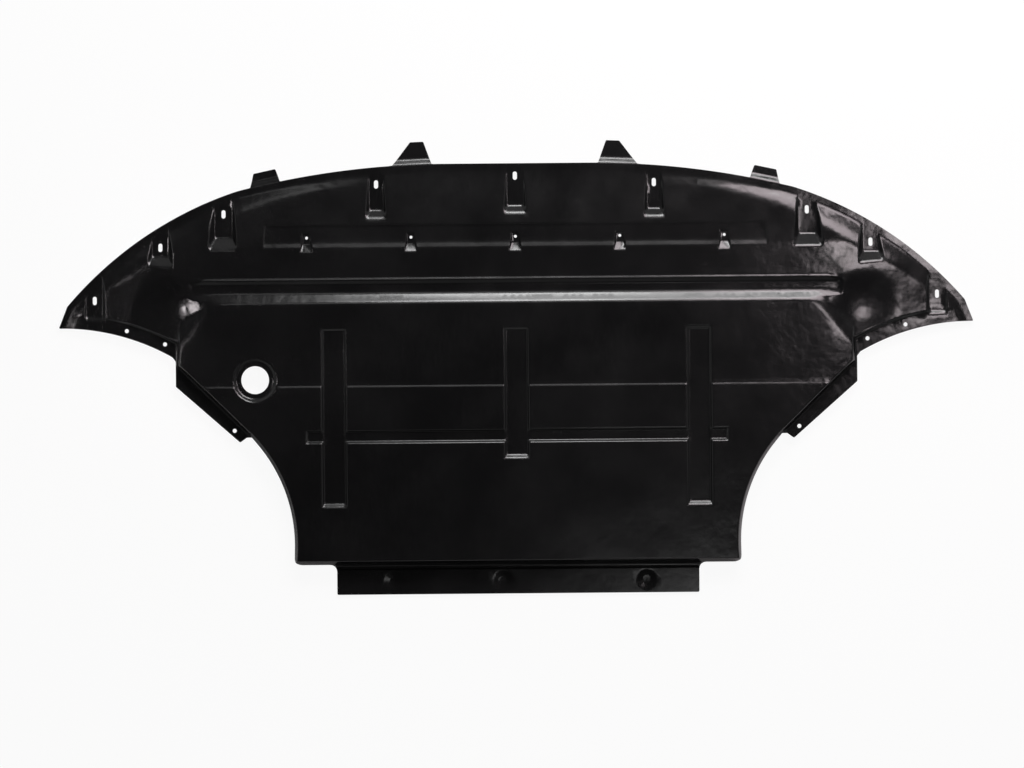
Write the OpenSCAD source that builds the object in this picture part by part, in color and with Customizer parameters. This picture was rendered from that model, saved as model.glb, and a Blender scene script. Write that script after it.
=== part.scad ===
// Engine undertray formed from one plastic sheet, lying with its road face up.
// X runs across the car, Y towards its front, Z away from the ground.
// Heights are those of the road face, above the undersides of the front tabs.

/* [Sheet] */
// Thickness of the sheet
wall = 2.5; // [2:0.1:3]

/* [Heights] */
// Front flange
flange_z = 7.5; // [7:0.25:8.5]
// Front panel behind its fold, and the root of each wing
panel_z = 23; // [21.5:0.5:24.5]
// Floor of the long cross channel
channel_z = 19.5; // [18:0.5:20.5]
// Centre panel ahead of the crease
centre_z = 29; // [28:0.5:30.5]
// Rise of the centre panel at the crease
crease_rise = 1.5; // [1:0.25:2.5]
// Side flanges and wheel arch strips
side_z = 12; // [11:0.5:13.5]
// Rear flange
rear_z = 4.5; // [4.25:0.25:5.5]

/* [Front edge] */
// Front edge at the middle
front_y = 337.5; // [334:0.5:340]
// Half length of the straight front edge
front_flat = 130; // [115:1:136]
// Shoulder where the front edge turns back, across
shoulder_x = 460; // [450:1:470]
// Shoulder, lengthwise
shoulder_y = 295; // [292:1:298]
// Bow of the front edge inboard of the shoulder
front_bow = 9.8; // [8:0.2:11]
// Bow of the front edge outboard of the shoulder
wing_bow = 23.7; // [21:0.1:26]
// Width of the front flange
flange_w = 12; // [10:0.5:14]
// Slope of the band behind the front flange
band_slope = 24; // [21:1:28]

/* [Wings] */
// Wing tip, across
tip_x = 757; // [748:1:766]
// Wing tip, lengthwise
tip_y = 70; // [64:1:74]
// Width of the cut across the wing tip
tip_w = 14; // [10:1:18]
// Length of the cut across the wing tip
tip_l = 36; // [30:1:42]
// Fall of a wing towards its tip
wing_fall = 3.8; // [3.4:0.1:4.2]
// Half width at which a wing starts to fall
wing_root = 545; // [535:1:555]
// Depth of the round hollow in a wing
dish_depth = 6; // [4:0.5:7]
// Radius of the round hollow in a wing
dish_r = 50; // [44:1:54]

/* [Wheel arches] */
// Front arch's inner corner, across
arch_x = 569; // [566:1:574]
// Front arch's inner corner, lengthwise
arch_y = 21; // [17:1:24]
// Hollow of the front arch
arch_bow = 12.9; // [11:0.1:15]
// Width of the strip along the front arch
arch_strip = 22; // [19:1:24]
// Half width of the sheet between the arches
side_x = 563.5; // [561:0.5:565]
// Hollow of the rear arch
rear_arch_bow = 17.5; // [16:0.5:19]
// Half width of the body behind the rear arch
rear_x = 369; // [366:1:372]

/* [Centre panel] */
// Half width of the centre panel
centre_x = 554; // [550:1:556]
// Front edge of the centre panel
centre_front = 107; // [104:1:109]
// Rear edge of the centre panel
centre_rear = -318; // [-320:1:-315]
// Crease across the centre panel
crease_y = -30; // [-36:1:-26]
// Slope of the centre panel's side walls
side_slope = 70; // [66:1:74]
// Slope of the centre panel's rear wall
rear_slope = 73; // [68:1:78]

/* [Front panel] */
// Fold between the flat and the falling part of the front panel
fold_y = 203; // [198:1:206]
// Slope of the falling part
fold_slope = 7.36; // [7:0.1:7.8]
// Half length of the cross channel's floor
channel_x = 536; // [528:1:542]
// Front edge of the cross channel's floor
channel_front = 139; // [136:1:144]
// Rear edge of the cross channel's floor
channel_rear = 124; // [121:1:127]
// Depth of the shallow step along the fold
step_depth = 2; // [1.5:0.25:2.5]
// Slope of the shallow step's rear wall
step_slope = 15; // [13:1:20]
// Half length of the shallow step
step_x = 413; // [400:1:420]
// Width of the shallow step
step_w = 29; // [25:1:34]

/* [Slots] */
// Width of a mounting slot
slot_w = 7; // [6:0.5:8]
// Length of a mounting slot
slot_l = 14; // [12:0.5:16]
// Slope of a slot pocket's side walls
pocket_side = 60; // [55:1:66]
// Slope of a slot pocket's end wall
pocket_end = 45; // [40:1:55]

/* [Screw pockets] */
// Spacing of the screw pockets
screw_pitch = 172.5; // [165:0.5:176]
// Screw pockets from the fold, forwards
screw_y = 13; // [11:0.5:15]
// Radius of a screw hole
screw_r = 2.5; // [2:0.25:3]
// Floor of a screw pocket below the fold
screw_depth = 6; // [5:0.5:7]

/* [Channels] */
// Floor of the lengthwise channels
rib_z = 25; // [24.5:0.5:26]
// Width of a lengthwise channel's floor
rib_w = 34; // [28:1:38]
// Outer lengthwise channels from the middle
rib_x = 301; // [292:1:310]
// Front end of the lengthwise channels
rib_front = 62; // [58:1:70]
// Rear end of the outer lengthwise channels
rib_rear = -224; // [-235:1:-215]
// Rear end of the middle channel
rib_mid_rear = -145; // [-152:1:-138]
// Floor of the cross rib channel
cross_z = 26.5; // [26:0.25:28]
// Middle of the cross rib channel
cross_y = -112.5; // [-118:0.5:-106]
// Width of the cross rib channel's floor
cross_w = 15; // [12:0.5:18]
// Half length of the cross rib channel's floor
cross_x = 345; // [335:1:352]

/* [Holes] */
// Radius of the oil drain access hole
access_r = 23; // [20:0.5:25]
// Access hole from the middle, to the left
access_x = 431; // [424:1:438]
// Access hole, lengthwise
access_y = -18; // [-24:1:-12]
// Width of the sunk ring round the access hole
access_ring = 8; // [6:0.5:10]
// Radius of a screw hole in the side flanges and arch strips
side_hole_r = 3.5; // [3:0.25:4]
// Side flange holes from the middle
side_hole_x = 467; // [464:0.5:470]
// Outer arch strip holes from the middle
outer_hole_x = 644; // [636:0.5:652]
// Inner arch strip holes from the middle
inner_hole_x = 581; // [578:0.5:588]

/* [Rear flange] */
// Rear edge
rear_edge = -375; // [-382:1:-370]
// Half width of the rear flange
rear_flange_x = 300; // [290:1:308]
// Radius of a dimple in the rear flange
dimple_r = 17; // [15:0.5:19]
// Depth of the groove along the rear wall
groove_depth = 1.5; // [1:0.25:2]

/* [Hidden] */
$fn = 96;

// Slots and their pockets, from the middle to the wing tip
slot_x = [0, front_flat + 100, shoulder_x + 23, tip_x - 169, tip_x - 59.5];
slot_inset = [20.5, 28.5, 30, 34.5, 38.5];
pocket_back = [51, 44.5, 41, 17, 29];
pocket_w = [28, 24, 30, 28, 28];

// Front tabs: place across, base width, end width, sideways shift of the end, length
tabs = [[front_flat + 40.5, 65, 22, -9.5, 37.7], [shoulder_x - 46, 50, 37, -3.3, 22]];
tab_z = wall;
tab_gap = 0.5;
tab_slope = 33;

// Dimples along the rear flange
dimple_x = [-206, -25, 213];
dimple_y = (rear_edge + centre_rear) / 2 - 6.5;
dimple_floor_r = 7;
groove_w = 4.5;

// Reach of the bodies and cutters beyond the sheet
deep = -60;
high = 60;
wide = tip_x + 63;
reach = 200;
side_rear = -135;
front_reach = front_y + 82.5;

rear_centre_z = centre_z + crease_rise;
crease_run = 3;
rear_corner = 12;
rear_drop = 7;
dish_x = wing_root + 43;
dish_y = 98;
dish_rim_z = panel_z - (dish_x - wing_root) * tan(wing_fall);
arch_mid = arc_mid([tip_x, tip_y], [arch_x, arch_y], -arch_bow);
arch_r = abs(arc_r([tip_x, tip_y], [arch_x, arch_y], -arch_bow));

// Side flange corners and the rear arch between them and the rear body
side_edge_y = [arch_y - 7, -28];
flange_corner = [side_x - 105.5, -121];
notch = [flange_corner + [-11, 8], flange_corner + [-20, 8]];
rear_arch = [flange_corner + [-28, -2], [rear_x, centre_rear + 18]];
rear_arch_mid = arc_mid(rear_arch[0], rear_arch[1], -rear_arch_bow);
rear_arch_r = abs(arc_r(rear_arch[0], rear_arch[1], -rear_arch_bow));
arch_gap = 6;
arch_join = -104;

// Screw holes in the side flanges and the arch strips, lengthwise
side_hole_y = flange_corner[1] + 19.5;
outer_hole_y = tip_y - 5;
inner_hole_y = arch_y + 21.5;

// Corners of the centre panel's top edge on the right
soft_edge = [[centre_x - 54, centre_front], [centre_x, 46]];
side_edge = [soft_edge[1], [centre_x, 8]];
flank_edge = [side_edge[1], [440, arch_join]];
soft_slope = 28;

// Tongue that runs on from the centre panel's front slope, beside the cross channel's end
tongue_x = soft_edge[0][0] - 12;
tongue_l = 55;
tongue_fall = atan((centre_z - channel_z) / tongue_l);
tongue_back = 36;
tongue_end = 45;

// Radius and middle of the arc from p to q that bows to the left of the way by bow
function arc_r(p, q, bow) = norm(q - p) * norm(q - p) / (8 * bow) + bow / 2;
function left(p, q) = [p[1] - q[1], q[0] - p[0]] / norm(q - p);
function arc_mid(p, q, bow) = (p + q) / 2 + left(p, q) * (bow - arc_r(p, q, bow));

// The n points of that arc after p
function arc_to(p, q, bow, n) =
    let (r = arc_r(p, q, bow), half = asin(norm(q - p) / (2 * r)))
    [for (i = [1 : n])
        let (a = half * (2 * i / n - 1))
        arc_mid(p, q, bow) + r * (left(p, q) * cos(a) + (q - p) / norm(q - p) * sin(a))];

// Right half of the front edge, from the middle to the wing tip
shoulder = [shoulder_x, shoulder_y];
tip_top = [tip_x - tip_w, tip_y + tip_l];
front_start = [front_flat, front_y];
front_edge = concat(
    [[-front_flat, front_y], front_start],
    arc_to(front_start, shoulder, front_bow, 5),
    arc_to(shoulder, tip_top, wing_bow, 8),
    [[tip_x, tip_y]]);

// Bow of a quarter circle with a radius of one
quarter_bow = 1 - sqrt(0.5);

// Right half of the outline, clockwise
rear_turn = [rear_x - rear_corner, centre_rear - rear_drop];
flange_turn = [rear_flange_x + rear_corner, centre_rear - rear_drop];
right_half = concat(
    [for (i = [1 : len(front_edge) - 1]) front_edge[i]],
    arc_to([tip_x, tip_y], [arch_x, arch_y], -arch_bow, 8),
    [[side_x, side_edge_y[0]], [side_x, side_edge_y[1]], flange_corner],
    notch,
    [rear_arch[0]],
    arc_to(rear_arch[0], rear_arch[1], -rear_arch_bow, 8),
    [[rear_x, rear_turn[1] + rear_corner]],
    arc_to([rear_x, rear_turn[1] + rear_corner], rear_turn, quarter_bow * rear_corner, 4),
    [flange_turn],
    arc_to(flange_turn, flange_turn - [rear_corner, rear_corner], -quarter_bow * rear_corner, 4),
    [[rear_flange_x, rear_edge]]);
last = len(right_half) - 1;
left_half = [for (i = [0 : last]) [-right_half[last - i][0], right_half[last - i][1]]];
outline_points = concat(right_half, left_half);

// Front edge at x, and its direction there
function on_arc(x, p, q, bow) =
    let (m = arc_mid(p, q, bow), r = arc_r(p, q, bow))
    m[1] + sqrt(r * r - (x - m[0]) * (x - m[0]));
function edge_y(x) =
    x <= front_flat ? front_y
    : x <= shoulder_x ? on_arc(x, front_start, shoulder, front_bow)
    : on_arc(x, shoulder, tip_top, wing_bow);
function edge_turn(x) = atan((edge_y(x + 1) - edge_y(x - 1)) / 2);

// An open line of road face points, moved d into the material on its right
function under_normal(p, q) = -left(p, q);
function inset(line, d) =
    [for (i = [0 : len(line) - 1])
        let (a = under_normal(line[max(i - 1, 0)], line[max(i, 1)]),
             b = i == len(line) - 1 ? a : under_normal(line[i], line[i + 1]))
        line[i] + d * (a + b) / (1 + a * b)];

// Section of a trough with its floor from a to b at height z and walls of the given slopes
function trough(a, b, z, slope_a, slope_b, sink = 0) =
    [[a - (high - z) / tan(slope_a), high],
     [a + sink / tan(slope_a), z - sink],
     [b - sink / tan(slope_b), z - sink],
     [b + (high - z) / tan(slope_b), high]];

module both_sides() {
    children();
    mirror([1, 0, 0]) children();
}

// Section in Y and Z drawn across the car
module across(section, x0, x1)
    translate([x0, 0, 0]) rotate([90, 0, 90]) linear_extrude(x1 - x0) polygon(section);

// Section in X and Z drawn along the car
module along(section, y0, y1)
    translate([0, y1, 0]) rotate([90, 0, 0]) linear_extrude(y1 - y0) polygon(section);

// All that lies d or more under a road face with this section in Y and Z
module ground(line, d)
    let (top = inset(line, d), bottom = deep - 20 - 4 * d)
    across(concat(top, [[top[len(top) - 1][0], bottom], [top[0][0], bottom]]), -wide, wide);

// A hollow with troughs both ways, grown by d
module hollow(lengthwise, crosswise, d)
    intersection() {
        across(inset(lengthwise, d), -wide, wide);
        along(inset(crosswise, d), -front_reach, front_reach);
    }

// All above a plane that holds the line from p to q at height z and falls to its left
module above_slope(p, q, z, slope, d, before, after, size)
    translate([p[0], p[1], z])
        rotate([0, 0, atan2(q[1] - p[1], q[0] - p[0])])
            rotate([-slope, 0, 0])
                translate([-before, -size, -d])
                    cube([norm(q - p) + before + after, 2 * size, size]);

module tab_outline(tab)
    translate([tab[0], edge_y(tab[0])])
        rotate(edge_turn(tab[0]))
            polygon([
                [-tab[1] / 2, -4],
                [-tab[1] / 2, 0],
                [tab[3] - tab[2] / 2, tab[4]],
                [tab[3] + tab[2] / 2, tab[4]],
                [tab[1] / 2, 0],
                [tab[1] / 2, -4]]);

module outline()
    translate([0, 0, -1]) linear_extrude(high)
        union() {
            polygon(outline_points);
            both_sides() for (tab = tabs) tab_outline(tab);
        }

// Front flange, stepping down to the tabs
module flange_ground(d)
    difference() {
        ground([[side_rear, flange_z], [front_reach, flange_z]], d);
        both_sides()
            for (tab = tabs)
                translate([tab[0], edge_y(tab[0]), 0])
                    rotate([0, 0, edge_turn(tab[0])])
                        above_slope([0, tab_gap], [1, tab_gap], flange_z, tab_slope, d, 50, 50, 80);
    }

module band_cut(i, d)
    let (p = front_edge[i], q = front_edge[i + 1], in = -flange_w * left(p, q))
    above_slope(p + in, q + in, flange_z, band_slope, d, 40, 40, 90);

module arch_cut(d)
    let (r = arch_r + arch_strip + d * tan(30), rise = high - side_z)
    translate([arch_mid[0], arch_mid[1], side_z - d])
        cylinder(h = rise, r1 = r, r2 = r + rise / tan(60), $fn = 180);

module dish_cut(d)
    let (r = (dish_r * dish_r + dish_depth * dish_depth) / (2 * dish_depth))
    translate([dish_x, dish_y, dish_rim_z - dish_depth + r])
        sphere(r = r + d, $fn = 180);

// Pockets stay open to the flange, whose face is their floor
module pocket_cut(i, d)
    let (sink = 4, y = edge_y(slot_x[i]) - slot_inset[i] - pocket_back[i])
    hollow(
        trough(y, front_reach + 100, flange_z, pocket_end, 80, sink),
        trough(slot_x[i] - pocket_w[i] / 2, slot_x[i] + pocket_w[i] / 2, flange_z,
            pocket_side, pocket_side, sink + 1),
        d);

module channel_cut(d)
    hollow(
        trough(channel_rear - 6, channel_front, channel_z, 45, 45),
        trough(-channel_x, channel_x, channel_z, 35, 35, 1),
        d);

// Front panel and wings
module panel_ground(d)
    difference() {
        intersection() {
            ground([[side_rear, panel_z], [fold_y, panel_z],
                [front_reach, panel_z - (front_reach - fold_y) * tan(fold_slope)]], d);
            along(concat(
                inset([[-wide, panel_z - (wide - wing_root) * tan(wing_fall)],
                    [0, panel_z + wing_root * tan(wing_fall)],
                    [wide, panel_z - (wide - wing_root) * tan(wing_fall)]], d),
                [[wide, deep - 4 * d], [-wide, deep - 4 * d]]), -front_reach, front_reach + 10);
        }
        band_cut(0, d);
        both_sides() {
            for (i = [1 : len(front_edge) - 2]) band_cut(i, d);
            arch_cut(d);
            dish_cut(d);
            for (i = [1 : len(slot_x) - 1]) pocket_cut(i, d);
        }
        pocket_cut(0, d);
        channel_cut(d);
    }

module soft_corner_cut(d)
    intersection() {
        above_slope(soft_edge[0], soft_edge[1], centre_z, soft_slope, d, reach, reach, reach);
        union() {
            above_slope([tongue_x, centre_front], [tongue_x, 0], centre_z, tongue_fall, d,
                reach, reach, reach);
            above_slope([tongue_x + reach, centre_front], [0, centre_front], centre_z, tongue_back, d,
                reach, 0, reach);
            above_slope([tongue_x + tongue_l, centre_front], [tongue_x + tongue_l, 0], channel_z,
                tongue_end, d, reach, reach, reach);
        }
    }

module rear_arch_cut(d)
    let (r = rear_arch_r + arch_gap + d / sin(side_slope), rise = high - rear_centre_z,
         drop = rear_centre_z - deep)
    intersection() {
        translate([rear_arch_mid[0], rear_arch_mid[1], deep])
            cylinder(h = rise + drop, r1 = r - drop / tan(side_slope), r2 = r + rise / tan(side_slope),
                $fn = 180);
        translate([0, arch_join - 2 * reach, deep - 10]) cube([wide, 2 * reach, 2 * reach]);
    }

// Centre panel, with its tongue between the cross channel and the wing
module centre_ground(d)
    difference() {
        ground([[centre_rear - (rear_centre_z - deep) / tan(rear_slope), deep],
            [centre_rear, rear_centre_z],
            [crease_y - crease_run / 2, rear_centre_z],
            [crease_y + crease_run / 2, centre_z],
            [centre_front, centre_z],
            [centre_front + (centre_z - deep) * (channel_rear - centre_front) / (centre_z - channel_z),
                deep]],
            d);
        both_sides() {
            soft_corner_cut(d);
            above_slope(side_edge[0], side_edge[1], rear_centre_z, side_slope, d, reach, reach, 2 * reach);
            above_slope(flank_edge[0], flank_edge[1], rear_centre_z, side_slope, d, reach, 0, 2 * reach);
            rear_arch_cut(d);
        }
    }

module rear_ground(d)
    difference() {
        ground([[-front_reach, rear_z], [centre_rear + 8, rear_z]], d);
        across(
            inset(trough(centre_rear - 10 - groove_w, centre_rear - 10, rear_z - groove_depth, 45, 45), d),
            -wide, wide);
    }

module screw_pocket(x, d)
    hollow(
        trough(fold_y + screw_y - 10, fold_y + screw_y + 6, panel_z - screw_depth, 22, 60),
        trough(x - 6, x + 6, panel_z - screw_depth, 56, 56, 1),
        d);

// Half as deep at its front edge as at its rear wall
module step_cut(d)
    let (y0 = fold_y + 5, y1 = y0 + step_w, fall = tan(fold_slope),
         z0 = panel_z - (y0 - fold_y) * fall - step_depth,
         z1 = panel_z - (y1 - fold_y) * fall - step_depth / 2)
    hollow(
        [[y0 - (high - z0) / tan(step_slope), high],
            [y0, z0],
            [y1, z1],
            [y1 + (high - z1) / tan(60), high]],
        trough(-step_x, step_x, z1, 60, 60, 2),
        d);

module rib_cut(x, rear, d)
    hollow(
        trough(rear, rib_front, rib_z, 50, 50),
        trough(x - rib_w / 2, x + rib_w / 2, rib_z, 55, 55, 1),
        d);

module cross_cut(d)
    hollow(
        trough(cross_y - cross_w / 2, cross_y + cross_w / 2, cross_z, 55, 55),
        trough(-cross_x, cross_x, cross_z, 55, 55, 1),
        d);

module access_cut(d)
    let (slope = 43, r = access_r + access_ring + d * tan(slope / 2), rise = 9)
    translate([-access_x, access_y, rib_z - d])
        cylinder(h = rise, r1 = r, r2 = r + rise / tan(slope));

module dimple_cut(x, d)
    let (rise = rear_z - tab_z, slope = atan(rise / (dimple_r - dimple_floor_r)),
         r = dimple_floor_r + d * tan(slope / 2), h = rise + 0.5)
    translate([x, dimple_y, tab_z - d])
        cylinder(h = h, r1 = r, r2 = r + h / tan(slope));

// All that lies d or more under the road face
module all_ground(d)
    difference() {
        union() {
            ground([[-front_reach, tab_z], [front_reach, tab_z]], d);
            flange_ground(d);
            panel_ground(d);
            centre_ground(d);
            rear_ground(d);
        }
        step_cut(d);
        for (i = [-2 : 2]) screw_pocket(i * screw_pitch, d);
        for (s = [-1, 1]) rib_cut(s * rib_x, rib_rear, d);
        rib_cut(0, rib_mid_rear, d);
        cross_cut(d);
        access_cut(d);
        for (x = dimple_x) dimple_cut(x, d);
    }

module hole(x, y, r)
    translate([x, y, -5]) cylinder(h = high, r = r);

module slot(x, y)
    translate([x, y, -5]) linear_extrude(high)
        union() {
            translate([0, (slot_l - slot_w) / 2]) circle(r = slot_w / 2);
            translate([0, (slot_w - slot_l) / 2]) circle(r = slot_w / 2);
            square([slot_w, slot_l - slot_w], center = true);
        }

module holes() {
    slot(0, edge_y(0) - slot_inset[0]);
    both_sides() {
        for (i = [1 : len(slot_x) - 1]) slot(slot_x[i], edge_y(slot_x[i]) - slot_inset[i]);
        hole(side_hole_x, side_hole_y, side_hole_r);
        hole(outer_hole_x, outer_hole_y, side_hole_r);
        hole(inner_hole_x, inner_hole_y, side_hole_r);
    }
    for (i = [-2 : 2]) hole(i * screw_pitch, fold_y + screw_y, screw_r);
    hole(-access_x, access_y, access_r);
}

module shield()
    color([0.07, 0.07, 0.075])
        difference() {
            intersection() {
                all_ground(0);
                outline();
            }
            all_ground(wall);
            holes();
        }

shield();
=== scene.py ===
from math import radians, degrees, tan, cos, sin, atan, atan2, asin, hypot, pi, sqrt
from types import SimpleNamespace

import bmesh
import bpy
import numpy as np
from mathutils import Matrix, Vector


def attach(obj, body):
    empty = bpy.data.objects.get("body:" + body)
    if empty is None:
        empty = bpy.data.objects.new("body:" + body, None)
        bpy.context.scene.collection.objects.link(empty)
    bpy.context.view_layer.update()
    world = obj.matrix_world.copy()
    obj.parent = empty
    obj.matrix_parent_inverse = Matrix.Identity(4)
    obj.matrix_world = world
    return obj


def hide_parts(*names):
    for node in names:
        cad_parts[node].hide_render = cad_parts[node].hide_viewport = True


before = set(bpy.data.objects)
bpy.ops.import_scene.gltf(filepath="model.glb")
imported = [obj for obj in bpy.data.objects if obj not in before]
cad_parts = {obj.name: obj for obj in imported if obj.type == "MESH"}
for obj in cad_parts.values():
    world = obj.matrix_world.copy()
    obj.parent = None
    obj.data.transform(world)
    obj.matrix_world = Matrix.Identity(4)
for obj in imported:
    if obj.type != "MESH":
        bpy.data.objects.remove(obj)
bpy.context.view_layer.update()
scene = bpy.context.scene
mm = 0.001
rng = np.random.default_rng(11)


def selectOnly(obj):
    bpy.ops.object.select_all(action='DESELECT')
    obj.select_set(True)
    bpy.context.view_layer.objects.active = obj


def editMode(kind):
    bpy.ops.object.mode_set(mode='EDIT')
    bpy.ops.mesh.select_mode(type=kind)


def objectMode():
    bpy.ops.object.mode_set(mode='OBJECT')


# Camera: straight above the road face, as in the photograph
cameraView = {
    "place": (-0.0077, -0.028, 3.775),
    "turn": -0.5,
    "lens": 80,
}


def addCamera():
    bpy.ops.object.camera_add(location=cameraView["place"], rotation=(0, 0, radians(cameraView["turn"])))
    camera = bpy.context.object
    camera.data.lens = cameraView["lens"]
    camera.data.sensor_width = 36
    scene.camera = camera


# The formed sheet, in mm and degrees; heights are those of the road face
sheetForm = {
    "wall": 2.5,
    # heights
    "flangeZ": 7.5, "panelZ": 23, "channelZ": 19.5, "centreZ": 29, "creaseRise": 1.5,
    "sideZ": 12, "rearZ": 4.5,
    # front edge
    "frontY": 337.5, "frontFlat": 130, "shoulder": (460, 295), "frontBow": 9.8, "wingBow": 23.7,
    "flangeWidth": 12, "bandSlope": 24,
    # wings
    "tipX": 757, "tipY": 70, "tipWidth": 14, "tipLength": 36, "wingFall": 3.8, "wingRoot": 545,
    "dishX": 588, "dishY": 98, "dishDepth": 6, "dishRadius": 50,
    # wheel arches
    "archCorner": (569, 21), "archBow": 12.9, "archStrip": 22, "sideX": 563.5,
    "rearArchBow": 17.5, "rearX": 369,
    # centre panel
    "centreX": 554, "centreFront": 107, "centreRear": -318, "creaseY": -30, "creaseRun": 3.6,
    "edgeSag": 1.9, "sagX": 500,
    "sideSlope": 70, "rearSlope": 73, "softSlope": 28, "archJoin": -104, "archGap": 6,
    # tongue beside the cross channel
    "tongueX": 488, "tongueLength": 55, "tongueBack": 36, "tongueEnd": 45,
    # front panel and cross channel
    "foldY": 203, "foldSlope": 7.36, "channelX": 536, "channelFront": 139, "channelRear": 124,
    "stepDepth": 2, "stepSlope": 15, "stepX": 413, "stepWidth": 29,
    # slots with their pockets, from the middle to the wing tip
    "slotX": (0, 230, 483, 588, 697.5), "slotInset": (20.5, 28.5, 30, 34.5, 38.5),
    "slotWidth": 7, "slotLength": 14,
    "pocketBack": (51, 44.5, 41, 17, 29), "pocketWidth": (28, 24, 30, 28, 28),
    "pocketSide": 60, "pocketEnd": 36, "pocketSoft": 8,
    # screw pockets behind the fold
    "screwPitch": 172.5, "screwY": 216, "screwRadius": 2.5, "screwFloor": 17,
    # lengthwise channels: place across, rear end
    "ribs": ((0, -145), (301, -224)), "ribZ": 25, "ribWidth": 34, "ribFront": 62,
    "crossZ": 26.5, "crossY": -112.5, "crossWidth": 15, "crossX": 345,
    # holes
    "accessHole": (-431, -18), "accessRadius": 23, "accessRing": 8,
    "sideHoles": ((467, -101.5), (644, 65), (581, 42.5)), "sideHoleRadius": 3.5,
    # rear flange
    "rearEdge": -375, "rearFlangeX": 300, "rearCorner": 12,
    "dimpleX": (-206, -25, 213), "dimpleY": -353, "dimpleRadius": 17, "dimpleFloor": 7,
    "grooveDepth": 1.5, "grooveWidth": 4.5,
    # front tabs: place across, base width, end width, sideways shift of the end, length
    "tabs": ((170.5, 65, 22, -9.5, 37.7), (414, 50, 37, -3.3, 22)),
    "tabZ": 2.5, "tabGap": 0.5, "tabSlope": 31,
    # unevenness of the formed sheet: height, length of the waves
    "waves": ((0.16, 170), (0.09, 74)), "wingWaves": ((0.65, 112), (0.28, 58)),
    # bead ahead of the cross channel: place lengthwise, height, half width
    "bead": (145.5, 1.4, 2.9),
}
s = SimpleNamespace(**sheetForm)
outerArch = ((s.tipX, s.tipY), s.archCorner, -s.archBow)
rearArch = ((430, -123), (s.rearX, -300), -s.rearArchBow)
frontArcs = (((s.frontFlat, s.frontY), s.shoulder, s.frontBow),
             (s.shoulder, (s.tipX - s.tipWidth, s.tipY + s.tipLength), s.wingBow))


def leftOf(p, q):
    length = hypot(q[0] - p[0], q[1] - p[1])
    return (p[1] - q[1]) / length, (q[0] - p[0]) / length


# Middle and radius of the arc from p to q that bows to the left of the way
def arcCircle(p, q, bow):
    chord = hypot(q[0] - p[0], q[1] - p[1])
    radius = chord * chord / (8 * bow) + bow / 2
    left = leftOf(p, q)
    return ((p[0] + q[0]) / 2 + left[0] * (bow - radius), (p[1] + q[1]) / 2 + left[1] * (bow - radius)), radius


def arcPoints(p, q, bow, step=5):
    middle, radius = arcCircle(p, q, bow)
    chord = hypot(q[0] - p[0], q[1] - p[1])
    half = asin(chord / (2 * radius))
    count = max(3, round(chord / step))
    left = leftOf(p, q)
    way = (q[0] - p[0]) / chord, (q[1] - p[1]) / chord
    points = []
    for i in range(1, count + 1):
        a = half * (2 * i / count - 1)
        points.append((middle[0] + radius * (left[0] * cos(a) + way[0] * sin(a)),
                       middle[1] + radius * (left[1] * cos(a) + way[1] * sin(a))))
    return points


def edgeY(x):
    if x <= s.frontFlat:
        return s.frontY
    middle, radius = arcCircle(*frontArcs[0 if x <= s.shoulder[0] else 1])
    return middle[1] + sqrt(radius ** 2 - (x - middle[0]) ** 2)


def edgeTurn(x):
    return atan((edgeY(x + 1) - edgeY(x - 1)) / 2)


def smoothMin(a, b, soft):
    h = np.maximum(soft - np.abs(a - b), 0) / soft
    return np.minimum(a, b) - h * h * soft / 4


def smoothMax(a, b, soft):
    return -smoothMin(-a, -b, soft)


# Height of the plane that holds the line from p to q at height z and falls to its left
def fallFrom(x, y, p, q, z, slope, d):
    left = leftOf(p, q)
    away = (x - p[0]) * left[0] + (y - p[1]) * left[1]
    return z - away * tan(radians(slope)) - d / cos(radians(slope))


# Wall that rises with the distance out
def wallUp(out, z, slope, d):
    return z + out * tan(radians(slope)) - d / cos(radians(slope))


def hollow(x, y, x0, x1, y0, y1, floor, slopes, d, soft):
    sides = wallUp(np.abs(x - (x0 + x1) / 2) - (x1 - x0) / 2, floor, slopes[0], d)
    front = wallUp(y - y1, floor, slopes[1], d)
    rear = wallUp(y0 - y, floor, slopes[2], d)
    ends = smoothMax(smoothMax(front, rear, soft), sides, soft)
    return smoothMax(ends, floor - d, soft)


def insideFront(ax, y):
    inside = s.frontY - y
    for (p, q, bow), joint in zip(frontArcs, (None, s.shoulder)):
        middle, radius = arcCircle(p, q, bow)
        depth = radius - np.hypot(ax - middle[0], y - middle[1])
        start = p
        past = (start[0] - middle[0]) * (y - middle[1]) - (start[1] - middle[1]) * (ax - middle[0]) < 0
        inside = np.where(past, depth, inside)
    p, q = frontArcs[1][1], (s.tipX, s.tipY)
    left = leftOf(p, q)
    tip = -((ax - p[0]) * left[0] + (y - p[1]) * left[1])
    return smoothMin(inside, tip, 6)


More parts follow.
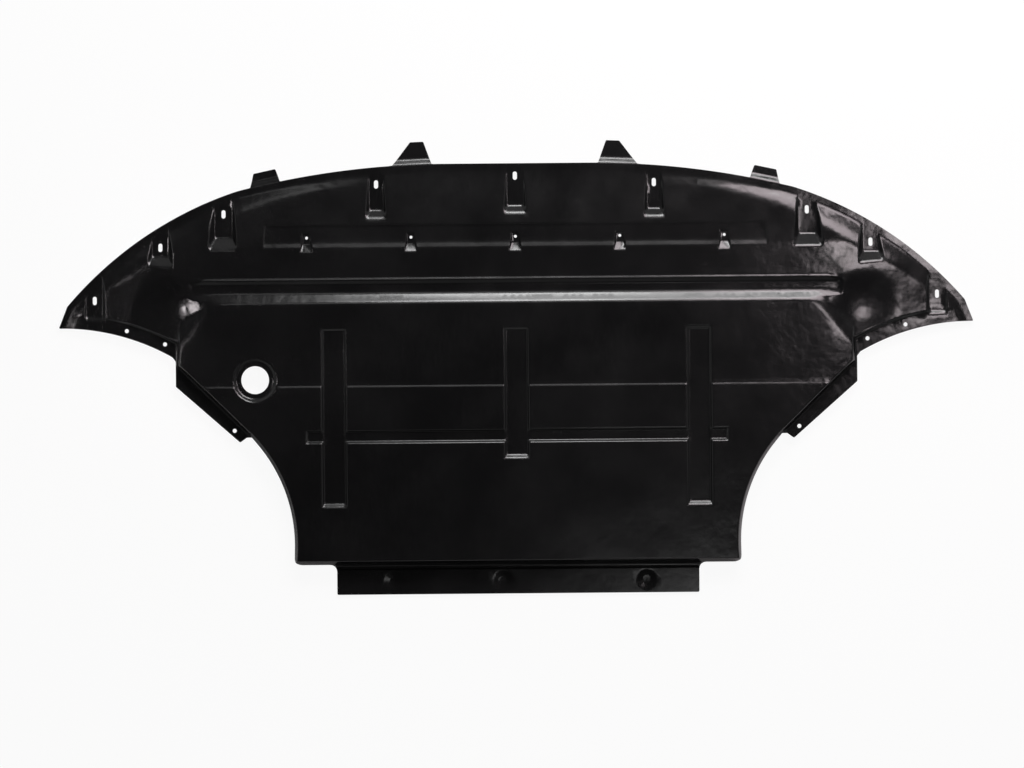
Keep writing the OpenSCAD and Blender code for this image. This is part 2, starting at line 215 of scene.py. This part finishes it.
def panelHeight(ax, y, d):
    z = np.full_like(y, s.panelZ - d)
    z = smoothMin(z, wallUp(s.foldY - y, s.panelZ, s.foldSlope, d), 0.7)
    z = smoothMin(z, z * 0 + wallUp(s.wingRoot - ax, s.panelZ, s.wingFall, d)
                  + np.minimum(z - (s.panelZ - d), 0), 1.6)
    dishSize = (s.dishRadius ** 2 + s.dishDepth ** 2) / (2 * s.dishDepth)
    rim = s.panelZ - (s.dishX - s.wingRoot) * tan(radians(s.wingFall))
    away = np.minimum((ax - s.dishX) ** 2 + (y - s.dishY) ** 2, 150.0 ** 2)
    dish = rim - s.dishDepth + dishSize - np.sqrt((dishSize + d) ** 2 - away)
    z = smoothMin(z, dish, 3.5)
    place, height, half = s.bead
    z = z + height * np.exp(-((y - place) / half) ** 2) * np.clip((s.channelX - 6 - ax) / 14, 0, 1)
    hole = hollow(ax, y, -s.channelX, s.channelX, s.channelRear - 6, s.channelFront,
                  s.channelZ, (35, 45, 45), d, 3)
    z = smoothMin(z, hole, 2.4)
    z = smoothMin(z, wallUp(insideFront(ax, y) - s.flangeWidth, s.flangeZ, s.bandSlope, d), 4.5)
    for slotX, inset, back, width in zip(s.slotX, s.slotInset, s.pocketBack, s.pocketWidth):
        end = edgeY(slotX) - inset - back + 1.6
        pocket = smoothMax(wallUp(np.abs(ax - slotX) - width / 2, s.flangeZ, s.pocketSide, d),
                           wallUp(end - y, s.flangeZ, s.pocketEnd, d), s.pocketSoft)
        z = smoothMin(z, pocket, 3)
    middle, radius = arcCircle(*outerArch)
    out = np.hypot(ax - middle[0], y - middle[1]) - abs(radius) - s.archStrip
    strip = smoothMax(wallUp(out, s.sideZ, 60, d), s.sideZ - d, 3)
    return smoothMin(z, strip, 3.5)


def centreHeight(ax, y, d):
    z = smoothMin(s.centreZ + s.creaseRise - d + 0 * y,
                  s.centreZ + (s.creaseY + s.creaseRun / 2 - y) * s.creaseRise / s.creaseRun - d * 1.1, 0.35)
    z = smoothMax(z, s.centreZ - d, 0.35)
    run = s.channelRear - s.centreFront
    frontSlope = degrees(atan2(s.centreZ - s.channelZ, run))
    z = smoothMin(z, wallUp(s.centreFront - y, s.centreZ, frontSlope, d), 2.6)
    softEdge = (s.centreX - 54, s.centreFront), (s.centreX, 46)
    soft = fallFrom(ax, y, *softEdge, s.centreZ, s.softSlope, d)
    tongueFall = degrees(atan2(s.centreZ - s.channelZ, s.tongueLength))
    tongue = smoothMin(wallUp(s.tongueX - ax, s.centreZ, tongueFall, d),
                       wallUp(y - s.centreFront, s.centreZ, s.tongueBack, d), 2.5)
    tongue = smoothMin(tongue, wallUp(s.tongueX + s.tongueLength - ax, s.channelZ, s.tongueEnd, d), 3)
    z = smoothMin(z, smoothMax(soft, tongue, 3), 7)
    z = z - s.edgeSag * np.clip((ax - s.sagX) / (s.centreX - s.sagX), 0, 1) ** 2
    top = s.centreZ + s.creaseRise
    z = smoothMin(z, wallUp(s.centreX - ax, top, s.sideSlope, d), 7)
    flank = (s.centreX, 8), (440, s.archJoin)
    wall = fallFrom(ax, y, *flank, top, s.sideSlope, d)
    length = hypot(flank[1][0] - flank[0][0], flank[1][1] - flank[0][1])
    along = ((ax - flank[0][0]) * (flank[1][0] - flank[0][0]) + (y - flank[0][1]) * (flank[1][1] - flank[0][1])) / length
    middle, radius = arcCircle(*rearArch)
    arch = wallUp(np.hypot(ax - middle[0], y - middle[1]) - abs(radius) - s.archGap, top, s.sideSlope, d)
    z = smoothMin(z, np.where(along <= length, wall, arch), 5)
    return smoothMin(z, wallUp(y - s.centreRear, top, s.rearSlope, d), 5.5)


# Waves that die out towards the supports and the flanges
def unevenness(x, y, z):
    rise = 0 * x
    wing = np.clip((np.abs(x) - 430) / 120, 0, 1) * np.clip((y - 10) / 60, 0, 1)
    for waves, share in ((s.waves, 1 - wing), (s.wingWaves, wing)):
        for height, length in waves:
            turn = 2 * pi / length
            wave = np.sin(turn * (0.83 * x + 0.56 * y) + 1.9 * np.sin(turn * 0.31 * y + 0.7))
            wave += np.sin(turn * (0.94 * y - 0.34 * x) + 1.6 * np.sin(turn * 0.27 * x + 2.1))
            rise += share * height / 2 * wave
    return rise * np.clip((z - s.tabZ) / 7, 0, 1)


def formHeight(x, y, d):
    ax = np.abs(x)
    tabLow = s.tabZ - d
    flange = np.where(y > -135, s.flangeZ - d, -90)
    for place, base, end, shift, length in s.tabs:
        turn = edgeTurn(place)
        out = (y - edgeY(place)) * cos(turn) - (ax - place) * sin(turn) - s.tabGap
        near = np.abs((ax - place) * cos(turn) + (y - edgeY(place)) * sin(turn)) < 50
        drop = smoothMin(flange, wallUp(-out, s.flangeZ, s.tabSlope, d), 2.2)
        flange = np.where(near & (y > 200), drop, flange)
    z = smoothMax(flange, tabLow + 0 * y, 2)
    z = smoothMax(z, panelHeight(ax, y, d), 2.2)
    z = np.where(y > -135, z, tabLow)
    groove = hollow(x, y, -900, 900, s.centreRear - 10 - s.grooveWidth, s.centreRear - 10,
                    s.rearZ - s.grooveDepth, (45, 45, 45), d, 0.8)
    rear = smoothMin(s.rearZ - d + 0 * y, groove, 0.8)
    z = np.where(y < s.centreRear + 8, np.maximum(z, rear), z)
    z = smoothMax(z, centreHeight(ax, y, d), 3.2)

    fall = tan(radians(s.foldSlope))
    stepRear, stepFront = s.foldY + 5, s.foldY + 5 + s.stepWidth
    high = s.panelZ - (stepRear - s.foldY) * fall - s.stepDepth
    low = s.panelZ - (stepFront - s.foldY) * fall - s.stepDepth / 2
    floor = high + (low - high) * (y - stepRear) / s.stepWidth
    step = smoothMax(wallUp(stepRear - y, high, s.stepSlope, d), wallUp(y - stepFront, low, 60, d), 1)
    step = smoothMax(step, wallUp(ax - s.stepX, low, 60, d), 1.5)
    z = smoothMin(z, smoothMax(step, floor - d, 0.8), 0.8)
    for i in range(-2, 3):
        px = i * s.screwPitch
        cut = hollow(x, y, px - 6, px + 6, s.screwY - 10, s.screwY + 6, s.screwFloor, (56, 60, 22), d, 0.9)
        z = smoothMin(z, cut, 1)
    for place, rearEnd in s.ribs:
        cut = hollow(ax, y, place - s.ribWidth / 2, place + s.ribWidth / 2, rearEnd + 1.6, s.ribFront,
                     s.ribZ, (55, 50, 38), d, 2)
        z = smoothMin(z, cut, 2.6)
    cut = hollow(x, y, -s.crossX, s.crossX, s.crossY - s.crossWidth / 2, s.crossY + s.crossWidth / 2,
                 s.crossZ, (55, 55, 46), d, 1.6)
    z = smoothMin(z, cut, 2)
    away = np.hypot(x - s.accessHole[0], y - s.accessHole[1])
    ring = smoothMax(wallUp(away - s.accessRadius - s.accessRing, s.ribZ, 43, d), s.ribZ - d, 2.2)
    z = smoothMin(z, ring, 2.4)
    for px in s.dimpleX:
        away = np.hypot(x - px, y - s.dimpleY)
        slope = degrees(atan((s.rearZ - s.tabZ) / (s.dimpleRadius - s.dimpleFloor)))
        dimple = smoothMax(wallUp(away - s.dimpleFloor, s.tabZ, slope, d), tabLow, 0.4)
        z = np.where(away < s.dimpleRadius + 5, smoothMin(z, dimple, 0.5), z)
    return z + unevenness(x, y, z + d)


def roundCorners(points, radius, steps=3, least=25):
    out = []
    n = len(points)
    for i in range(n):
        a, b, c = np.array(points[i - 1]), np.array(points[i]), np.array(points[(i + 1) % n])
        u, v = a - b, c - b
        lu, lv = np.hypot(*u), np.hypot(*v)
        turn = pi - np.arccos(np.clip(np.dot(u, v) / (lu * lv), -1, 1))
        if degrees(turn) < least:
            out.append(tuple(b))
            continue
        cut = min(radius * tan(turn / 2), lu * 0.45, lv * 0.45)
        p, q = b + u / lu * cut, b + v / lv * cut
        for k in range(steps + 1):
            t = k / steps
            out.append(tuple((1 - t) ** 2 * p + 2 * t * (1 - t) * b + t * t * q))
    return out


def tabPoints(place, base, end, shift, length):
    turn = edgeTurn(place)
    corners = ((-base / 2, 0), (shift - end / 2, length), (shift + end / 2, length), (base / 2, 0))
    return [(place + cx * cos(turn) - cy * sin(turn), edgeY(place) + cx * sin(turn) + cy * cos(turn))
            for cx, cy in corners]


# Right half of the outline, clockwise from the middle of the front edge
def outlineHalf():
    front = [(s.frontFlat, s.frontY)]
    for arc in frontArcs:
        front += arcPoints(*arc)
    for tab in s.tabs:
        corners = tabPoints(*tab)
        front = [p for p in front if not corners[0][0] - 2 < p[0] < corners[3][0] + 2]
        front = sorted(front + [corners[0], corners[3]])
        at = front.index(corners[0]) + 1
        front[at:at] = corners[1:3]
    sideCorner = s.sideX - 105.5, -121
    notch = (sideCorner[0] - 11, sideCorner[1] + 8), (sideCorner[0] - 20, sideCorner[1] + 8)
    c = s.rearCorner
    turnA = (s.rearX, s.centreRear - 7 + c), (s.rearX - c, s.centreRear - 7)
    turnB = (s.rearFlangeX + c, s.centreRear - 7), (s.rearFlangeX, s.centreRear - 7 - c)
    bow = (1 - sqrt(0.5)) * c
    rest = [(s.tipX, s.tipY)] + arcPoints(*outerArch)
    rest += [(s.sideX, s.archCorner[1] - 7), (s.sideX, -28), sideCorner, *notch, rearArch[0]]
    rest += arcPoints(*rearArch) + [turnA[0]] + arcPoints(*turnA, bow, 3)
    rest += [turnB[0]] + arcPoints(*turnB, -bow, 3) + [(s.rearFlangeX, s.rearEdge)]
    return front + rest


def ringPoints(x, y, radius, stretch=0, count=24):
    points = []
    for i in range(count):
        a = 2 * pi * (i + 0.5) / count
        points.append((x + radius * cos(a), y + radius * sin(a) + (stretch if sin(a) > 0 else -stretch)))
    return points


def outlineLoops():
    half = outlineHalf()
    outer = roundCorners(half + [(-x, y) for x, y in reversed(half)], 2.5)
    loops = [outer]
    reach = (s.slotLength - s.slotWidth) / 2
    for slotX, inset in zip(s.slotX, s.slotInset):
        for side in ((1, -1) if slotX else (1,)):
            loops.append(ringPoints(side * slotX, edgeY(slotX) - inset, s.slotWidth / 2, reach, 20))
    for x, y in s.sideHoles:
        loops += [ringPoints(x, y, s.sideHoleRadius, count=20), ringPoints(-x, y, s.sideHoleRadius, count=20)]
    loops += [ringPoints(i * s.screwPitch, s.screwY, s.screwRadius, count=16) for i in range(-2, 3)]
    loops.append(ringPoints(*s.accessHole, s.accessRadius, count=64))
    return loops


def meshCoords(mesh):
    co = np.empty(len(mesh.vertices) * 3)
    mesh.vertices.foreach_get("co", co)
    return co.reshape(-1, 3)


# Cutter with the sheet's outline and holes
def addCutter():
    points, edges = [], []
    for loop in outlineLoops():
        first = len(points)
        points += [(x, y, -10) for x, y in loop]
        edges += [(first + i, first + (i + 1) % len(loop)) for i in range(len(loop))]
    mesh = bpy.data.meshes.new("outline")
    mesh.from_pydata(points, edges, [])
    cutter = bpy.data.objects.new("outline", mesh)
    scene.collection.objects.link(cutter)
    selectOnly(cutter)
    editMode('EDGE')
    bpy.ops.mesh.select_all(action='SELECT')
    bpy.ops.mesh.fill(use_beauty=False)
    bpy.ops.mesh.select_all(action='SELECT')
    bpy.ops.mesh.extrude_region_move(TRANSFORM_OT_translate={"value": (0, 0, 20)})
    bpy.ops.mesh.select_all(action='SELECT')
    bpy.ops.mesh.normals_make_consistent(inside=False)
    objectMode()
    return cutter


def addBlank(cell=12.5):
    halfX, lengthY = s.tipX + 8, 740
    bpy.ops.mesh.primitive_grid_add(x_subdivisions=round(2 * halfX / cell), y_subdivisions=round(lengthY / cell),
                                    size=2)
    blank = bpy.context.object
    blank.name = "engine_shield"
    blank.scale = (halfX, lengthY / 2 + 20, 1)
    bpy.ops.object.transform_apply(scale=True)
    cutter = addCutter()
    selectOnly(blank)
    cut = blank.modifiers.new("outline", 'BOOLEAN')
    cut.operation = 'INTERSECT'
    cut.solver = 'EXACT'
    cut.object = cutter
    bpy.ops.object.modifier_apply(modifier=cut.name)
    bpy.data.objects.remove(cutter)
    selectOnly(blank)
    selectVerts(blank, meshCoords(blank.data)[:, 2] < -1)
    bpy.ops.mesh.delete(type='VERT')
    bpy.ops.mesh.select_all(action='SELECT')
    bpy.ops.mesh.remove_doubles(threshold=0.02)
    bpy.ops.mesh.quads_convert_to_tris(quad_method='BEAUTY', ngon_method='BEAUTY')
    objectMode()
    print("blank", len(blank.data.vertices), "points")
    return blank


def selectVerts(obj, chosen):
    editMode('VERT')
    bpy.ops.mesh.select_all(action='DESELECT')
    objectMode()
    obj.data.vertices.foreach_set("select", chosen)
    bpy.ops.object.mode_set(mode='EDIT')


# An edge that the form bends away from is split where it bends most, so new points line up along the folds
forming = {"rounds": 6, "error": 0.065, "shortest": 1.15, "farError": 0.25, "farShortest": 2.2}


# How far the form leaves each edge, and where along it
def worstBend(a, b, depth, shares):
    za, zb = formHeight(*a.T, depth), formHeight(*b.T, depth)
    worst, place = np.zeros(len(a)), np.full(len(a), 0.5)
    for share in shares.T:
        z = formHeight(*(a + (b - a) * share[:, None]).T, depth)
        gap = np.abs(z - za - (zb - za) * share)
        place = np.where(gap > worst, share, place)
        worst = np.maximum(worst, gap)
    return worst, place


def splitBends(obj):
    sheet = bmesh.new()
    sheet.from_mesh(obj.data)
    tested = np.empty(0, dtype=np.int64)
    for turn in range(forming["rounds"]):
        sheet.verts.index_update()
        sheet.edges.ensure_lookup_table()
        co = np.array([v.co[:2] for v in sheet.verts])
        ends = np.sort(np.array([[e.verts[0].index, e.verts[1].index] for e in sheet.edges]), axis=1)
        keys = ends[:, 0] * 10000000 + ends[:, 1]
        fresh = np.flatnonzero(~np.isin(keys, tested))
        tested = np.union1d(tested, keys)
        percents = {}
        a, b = co[ends[fresh, 0]], co[ends[fresh, 1]]
        length = np.hypot(*(b - a).T)
        for depth, error, least in ((0.0, forming["error"], forming["shortest"]),
                                    (s.wall, forming["farError"], forming["farShortest"])):
            long = np.flatnonzero(length > least)
            coarse = np.tile(np.arange(1, 8) / 8, (len(long), 1))
            worst, place = worstBend(a[long], b[long], depth, coarse)
            bent = worst > error
            long, place = long[bent], place[bent]
            for reach in (0.06, 0.02):
                near = np.clip(place[:, None] + np.linspace(-reach, reach, 5), 0.02, 0.98)
                worst, place = worstBend(a[long], b[long], depth, near)
            margin = np.minimum(0.35, 0.45 * least / length[long])
            place = np.clip(place, margin, 1 - margin)
            for i, share in zip(fresh[long], place):
                edge = sheet.edges[int(i)]
                if edge not in percents:
                    percents[edge] = float(share if edge.verts[0].index < edge.verts[1].index else 1 - share)
        if not percents:
            break
        bmesh.ops.bisect_edges(sheet, edges=list(percents), cuts=1, edge_percents=percents)
        bmesh.ops.triangulate(sheet, faces=[f for f in sheet.faces if len(f.verts) > 3], ngon_method='BEAUTY')
        inner = [e for e in sheet.edges if not e.is_boundary]
        bmesh.ops.beautify_fill(sheet, faces=sheet.faces, edges=inner, use_restrict_tag=True, method='AREA')
        co = np.array([v.co[:2] for v in sheet.verts])
        for v, z in zip(sheet.verts, formHeight(*co.T, 0.0)):
            v.co.z = z
        inner = [e for e in sheet.edges if not e.is_boundary]
        bmesh.ops.beautify_fill(sheet, faces=sheet.faces, edges=inner, use_restrict_tag=True, method='ANGLE')
        for v in sheet.verts:
            v.co.z = 0
        print("split", turn + 1, len(percents), "edges,", len(sheet.faces), "faces")
    sheet.to_mesh(obj.data)
    sheet.free()


# Direction that a face of the sheet looks, from the slope of the form
def formNormals(x, y, depth, reach=0.25):
    slopeX = (formHeight(x + reach, y, depth) - formHeight(x - reach, y, depth)) / (2 * reach)
    slopeY = (formHeight(x, y + reach, depth) - formHeight(x, y - reach, depth)) / (2 * reach)
    normals = np.stack([-slopeX, -slopeY, np.ones_like(slopeX)], axis=1)
    return normals / np.linalg.norm(normals, axis=1)[:, None]


def formSheet(obj):
    editMode('FACE')
    bpy.ops.mesh.select_all(action='SELECT')
    bpy.ops.mesh.extrude_region_move(TRANSFORM_OT_translate={"value": (0, 0, -1)})
    objectMode()
    co = meshCoords(obj.data)
    far = co[:, 2] < -0.5
    co[~far, 2] = formHeight(*co[~far, :2].T, 0.0)
    co[far, 2] = formHeight(*co[far, :2].T, s.wall)
    obj.data.vertices.foreach_set("co", co.ravel())
    obj.data.update()
    editMode('FACE')
    bpy.ops.mesh.select_all(action='SELECT')
    bpy.ops.mesh.normals_make_consistent(inside=False)
    objectMode()
    bpy.ops.object.shade_smooth()
    print("formed", len(obj.data.polygons), "faces")


def smoothNormals(obj):
    mesh = obj.data
    co = meshCoords(mesh)
    near, far = formNormals(*co[:, :2].T, 0.0), -formNormals(*co[:, :2].T, s.wall)
    faceNormals = np.empty(len(mesh.polygons) * 3)
    mesh.polygons.foreach_get("normal", faceNormals)
    faceNormals = faceNormals.reshape(-1, 3)
    corners = np.empty(len(mesh.loops), dtype=np.int32)
    mesh.loops.foreach_get("vertex_index", corners)
    sides = np.empty(len(mesh.polygons), dtype=np.int32)
    mesh.polygons.foreach_get("loop_total", sides)
    face = np.repeat(np.arange(len(sides)), sides)
    up = faceNormals[face, 2]
    normals = np.where(up[:, None] > 0.12, near[corners],
                       np.where(up[:, None] < -0.12, far[corners], faceNormals[face]))
    mesh.normals_split_custom_set(normals.tolist())


def addSheet():
    sheet = addBlank()
    splitBends(sheet)
    formSheet(sheet)
    smoothNormals(sheet)
    sheet.data.transform(Matrix.Scale(mm, 4))
    return sheet


# A number that a shader works out, so that its maths reads as maths
class Value:
    def __init__(self, finish, socket):
        self.finish, self.socket = finish, socket

    def maths(self, operation, first, second):
        return self.finish.node('Math', {"operation": operation}, {0: first, 1: second})

    def __add__(self, other):
        return self.maths('ADD', self, other)

    def __sub__(self, other):
        return self.maths('SUBTRACT', self, other)

    def __rsub__(self, other):
        return self.maths('SUBTRACT', other, self)

    def __mul__(self, other):
        return self.maths('MULTIPLY', self, other)

    def __pow__(self, other):
        return self.maths('POWER', self, other)

    __radd__ = __add__
    __rmul__ = __mul__


# The nodes of a material or a world
class Finish:
    def __init__(self, owner):
        owner.use_nodes = True
        self.tree = owner.node_tree
        self.tree.nodes.clear()

    def node(self, kind, settings={}, values={}, out=0):
        made = self.tree.nodes.new('ShaderNode' + kind)
        for name, setting in settings.items():
            if name == "stops":
                while len(made.color_ramp.elements) < len(setting):
                    made.color_ramp.elements.new(0.5)
                for stop, (place, shade) in zip(made.color_ramp.elements, setting):
                    stop.position = place
                    stop.color = (shade, shade, shade, 1)
            else:
                setattr(made, name, setting)
        for name, value in values.items():
            if isinstance(value, Value):
                self.tree.links.new(value.socket, made.inputs[name])
            else:
                made.inputs[name].default_value = value
        return Value(self, made.outputs[out]) if made.outputs else None

    # Noise in Object coordinates, with its patches this many metres across
    def noise(self, size, detail=2, stretch=(1, 1, 1), rough=0.5):
        place = self.node('TexCoord', out=3)
        place = self.node('Mapping', {}, {"Vector": place, "Scale": tuple(1 / (size * k) for k in stretch)})
        return self.node('TexNoise', {}, {"Vector": place, "Scale": 1, "Detail": detail, "Roughness": rough})

    # Grey steps of a value
    def ramp(self, value, *stops):
        return self.node('ValToRGB', {"stops": stops}, {"Fac": value})


plasticFinish = {
    "black": (0.0048, 0.0048, 0.0051, 1), "dusty": (0.0095, 0.0095, 0.0098, 1),
    "gloss": 0.1, "dull": 0.27,
    "rippleSize": 0.014, "rippleHeight": 0.00011, "wingRipples": 2.2,
    "grainSize": 0.0012, "grainHeight": 0.000008,
}


def blackPlastic():
    look = plasticFinish
    material = bpy.data.materials.new("black_plastic")
    finish = Finish(material)
    patches = finish.noise(0.11, 4)
    scuffs = finish.noise(0.02, 6, (0.12, 1, 1), 0.65)
    dust = finish.ramp(patches * 0.6 + scuffs * 0.4, (0.42, 0), (0.68, 1))
    colour = finish.node('Mix', {"data_type": 'RGBA'}, {0: dust, 6: look["black"], 7: look["dusty"]}, out=2)
    rough = finish.noise(0.05, 5) * (look["dull"] - look["gloss"]) + look["gloss"]
    across = finish.node('SeparateXYZ', {}, {0: finish.node('TexCoord', out=3)})
    wings = finish.ramp(finish.node('Math', {"operation": 'ABSOLUTE'}, {0: across}), (0.27, 0), (0.45, 1))
    ripples = finish.noise(look["rippleSize"], 1) * (wings * look["wingRipples"] + 1)
    bump = finish.node('Bump', {}, {"Strength": 1, "Distance": look["rippleHeight"], "Height": ripples})
    grain = finish.noise(look["grainSize"], 2)
    bump = finish.node('Bump', {}, {"Strength": 1, "Distance": look["grainHeight"], "Height": grain, "Normal": bump})
    skin = finish.node('BsdfPrincipled', {}, {"Base Color": colour, "Roughness": rough, "Normal": bump,
                                              "IOR": 1.5})
    finish.node('OutputMaterial', {}, {"Surface": skin})
    return material


# Studio: a pale floor, a dark room that the camera sees as white, and soft boxes
studio = {"floor": 0.93, "floorGlow": 0.93, "overhead": 0.026, "horizon": 0.5}


def cameraOnly(finish):
    return finish.node('LightPath', out=0)


def addFloor():
    bpy.ops.mesh.primitive_plane_add(size=14, location=(0, 0, -0.0003))
    floor = bpy.context.object
    floor.name = "floor"
    material = bpy.data.materials.new("pale_floor")
    finish = Finish(material)
    pale = finish.node('BsdfDiffuse', {}, {"Color": (studio["floor"],) * 3 + (1,)})
    glow = finish.node('Emission', {}, {"Color": (1, 1, 1, 1), "Strength": 1})
    seen = finish.node('MixShader', {}, {0: cameraOnly(finish) * studio["floorGlow"], 1: pale, 2: glow})
    finish.node('OutputMaterial', {}, {"Surface": seen})
    floor.data.materials.append(material)


def addRoom():
    room = bpy.data.worlds.new("room")
    scene.world = room
    finish = Finish(room)
    way = finish.node('TexCoord')
    height = finish.node('SeparateXYZ', {}, {0: way}, out=2)
    dark, light = studio["overhead"], studio["horizon"]
    shade = finish.ramp(height, (0, light), (0.3, light * 0.7), (0.62, dark * 2), (0.85, dark))
    dim = finish.node('Background', {}, {"Color": shade, "Strength": 1})
    white = finish.node('Background', {}, {"Color": (1, 1, 1, 1), "Strength": 1})
    seen = finish.node('MixShader', {}, {0: cameraOnly(finish), 1: dim, 2: white})
    finish.node('OutputWorld', {}, {"Surface": seen})


# Soft boxes: place, point they face, size, radiance, colour, spread in degrees
softBoxes = {
    "front_box": ((0.5, 1.88, 1.23), (0.45, 0.1, 0), (1.36, 0.5), 7.8, (1, 1, 1), 180),
    "front_left_box": ((-0.36, 1.88, 1.23), (-0.41, 0.1, 0), (0.32, 0.5), 3.3, (1, 1, 1), 180),
    "pocket_box": ((0, 1.75, 1.45), (0, 0.2, 0), (0.7, 0.35), 14, (1, 1, 1), 180),
    "high_front_box": ((-0.1, 1.62, 2.2), (-0.15, 0.2, 0), (1.7, 0.3), 1.5, (1, 1, 1), 180),
    "right_box": ((1.04, 1.54, 1.56), (0.45, 0.27, 0), (1.2, 0.65), 9, (1, 0.88, 0.92), 180),
    "top_right_box": ((1.27, 0.45, 2.5), (0.62, 0.12, 0), (0.36, 0.55), 11, (1, 0.9, 0.93), 180),
    "left_box": ((-1.68, 0.25, 1.9), (-0.5, 0.1, 0), (0.44, 0.36), 0.11, (1, 0.93, 0.95), 8),
    "rear_box": ((0.48, -0.85, 3.0), (0.2, -0.33, 0), (0.6, 0.35), 1.9, (1, 1, 1), 180),
}


def addSoftBoxes():
    for name, (place, target, size, radiance, colour, spread) in softBoxes.items():
        bpy.ops.object.light_add(type='AREA', location=place)
        lamp = bpy.context.object
        lamp.name = name
        lamp.data.shape = 'RECTANGLE'
        lamp.data.size, lamp.data.size_y = size
        lamp.data.energy = radiance * pi * size[0] * size[1]
        lamp.data.color = colour
        lamp.data.spread = radians(spread)
        way = Vector(target) - Vector(place)
        lamp.rotation_euler = way.to_track_quat('-Z', 'Y').to_euler()


addCamera()
sheet = addSheet()
sheet.data.materials.append(blackPlastic())
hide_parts("shield")
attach(sheet, "root")
print("sheet ready")
addFloor()
addRoom()
addSoftBoxes()
scene.view_settings.view_transform = 'Standard'
print("scene ready")
